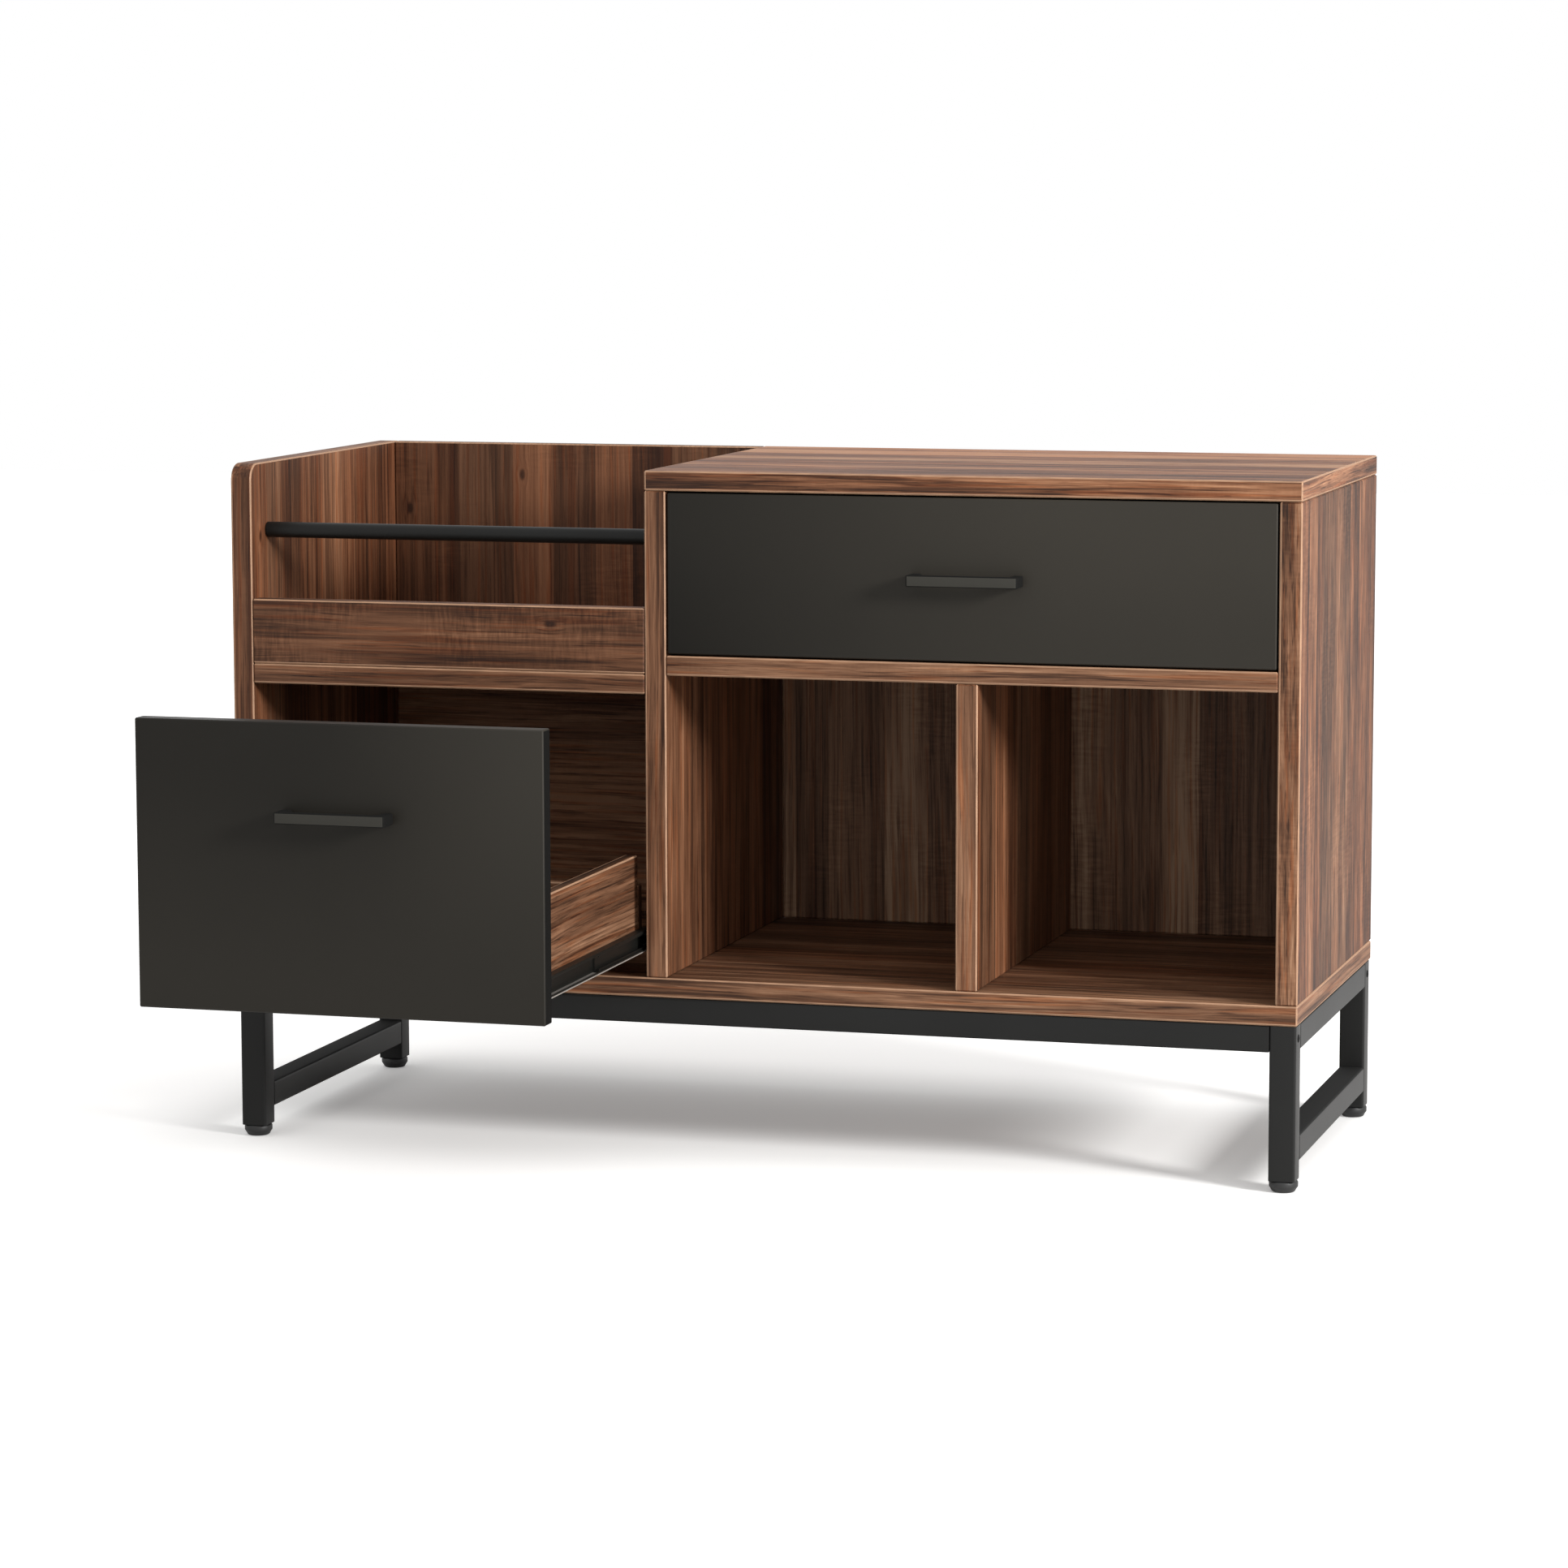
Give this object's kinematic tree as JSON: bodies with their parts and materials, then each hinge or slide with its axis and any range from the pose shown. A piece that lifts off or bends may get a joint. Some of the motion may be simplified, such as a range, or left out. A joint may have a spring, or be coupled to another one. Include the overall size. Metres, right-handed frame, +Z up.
{
  "type": "filing cabinet",
  "caption": "Low wooden filing cabinet with a file drawer under an open tray, a wide drawer over open cubbies, telescopic slides and a square-tube steel base on levelling feet.",
  "frame": {"origin": "on the floor, under the middle of the cabinet's outline with its file drawer pulled out as at rest", "axes": "+X along the width to the right as seen from the front, -Y out of the front where the drawers open, +Z up"},
  "size_m": [1, 0.6924, 0.63],
  "materials": {
    "walnut_board": "satin walnut-grain board with pale broken edges",
    "black_lacquer": "matte charcoal lacquer on board",
    "black_steel": "fine-textured black powder coat",
    "slide_steel": "black-plated rolled sheet",
    "foot_plastic": "matte moulded black"
  },
  "bodies": {
    "cabinet": {"bottom_panel": "walnut_board", "top_panel": "walnut_board", "left_side_panel": "walnut_board", "middle_divider": "walnut_board", "right_side_panel": "walnut_board", "tray_shelf": "walnut_board", "tray_lip": "walnut_board", "drawer_shelf": "walnut_board", "cubby_divider": "walnut_board", "tray_back_panel": "walnut_board", "file_back_panel": "walnut_board", "right_back_panel": "walnut_board", "guard_rail": "black_steel", "front_rail": "black_steel", "rear_rail": "black_steel", "side_rail_left": "black_steel", "side_rail_right": "black_steel", "stretcher_left": "black_steel", "stretcher_right": "black_steel", "leg_front_left": "black_steel", "leg_front_right": "black_steel", "leg_rear_left": "black_steel", "leg_rear_right": "black_steel", "file_slide_cabinet_left": "slide_steel", "file_slide_cabinet_right": "slide_steel", "top_slide_cabinet_left": "slide_steel", "top_slide_cabinet_right": "slide_steel"},
    "file_drawer": {"file_drawer_front": "black_lacquer", "file_drawer_side_left": "walnut_board", "file_drawer_side_right": "walnut_board", "file_drawer_back": "walnut_board", "file_drawer_bottom": "walnut_board", "file_drawer_handle": "black_steel", "file_slide_drawer_left": "slide_steel", "file_slide_drawer_right": "slide_steel"},
    "file_slide_middles": {"file_slide_middle_left": "slide_steel", "file_slide_middle_right": "slide_steel"},
    "top_drawer": {"top_drawer_front": "black_lacquer", "top_drawer_side_left": "walnut_board", "top_drawer_side_right": "walnut_board", "top_drawer_back": "walnut_board", "top_drawer_bottom": "walnut_board", "top_drawer_handle": "black_steel", "top_slide_drawer_left": "slide_steel", "top_slide_drawer_right": "slide_steel"},
    "top_slide_middles": {"top_slide_middle_left": "slide_steel", "top_slide_middle_right": "slide_steel"},
    "levelling_foot_front_left": {"foot_front_left": "foot_plastic"},
    "levelling_foot_front_right": {"foot_front_right": "foot_plastic"},
    "levelling_foot_rear_left": {"foot_rear_left": "foot_plastic"},
    "levelling_foot_rear_right": {"foot_rear_right": "foot_plastic"}
  },
  "joints": [
    {"name": "file_drawer_slide", "type": "slide", "parent": "cabinet", "child": "file_drawer", "axis": [0, -1, 0], "range_m": [-0.28, 0.01]},
    {"name": "file_slide_middle_travel", "type": "slide", "parent": "cabinet", "child": "file_slide_middles", "axis": [0, -1, 0], "range_m": [-0.14, 0.005]},
    {"name": "top_drawer_slide", "type": "slide", "parent": "cabinet", "child": "top_drawer", "axis": [0, -1, 0], "range_m": [0, 0.29]},
    {"name": "top_slide_middle_travel", "type": "slide", "parent": "cabinet", "child": "top_slide_middles", "axis": [0, -1, 0], "range_m": [0, 0.145]},
    {"name": "foot_front_left_turn", "type": "hinge", "parent": "cabinet", "child": "levelling_foot_front_left", "pos_m": [-0.487, -0.03085, 0.01], "axis": [0, 0, 1], "continuous": true},
    {"name": "foot_front_right_turn", "type": "hinge", "parent": "cabinet", "child": "levelling_foot_front_right", "pos_m": [0.487, -0.03085, 0.01], "axis": [0, 0, 1], "continuous": true},
    {"name": "foot_rear_left_turn", "type": "hinge", "parent": "cabinet", "child": "levelling_foot_rear_left", "pos_m": [-0.487, 0.33315, 0.01], "axis": [0, 0, 1], "continuous": true},
    {"name": "foot_rear_right_turn", "type": "hinge", "parent": "cabinet", "child": "levelling_foot_rear_right", "pos_m": [0.487, 0.33315, 0.01], "axis": [0, 0, 1], "continuous": true}
  ],
  "couplings": [
    {"joint": "file_slide_middle_travel", "follows": "file_drawer_slide", "ratio": 0.5},
    {"joint": "top_slide_middle_travel", "follows": "top_drawer_slide", "ratio": 0.5}
  ]
}
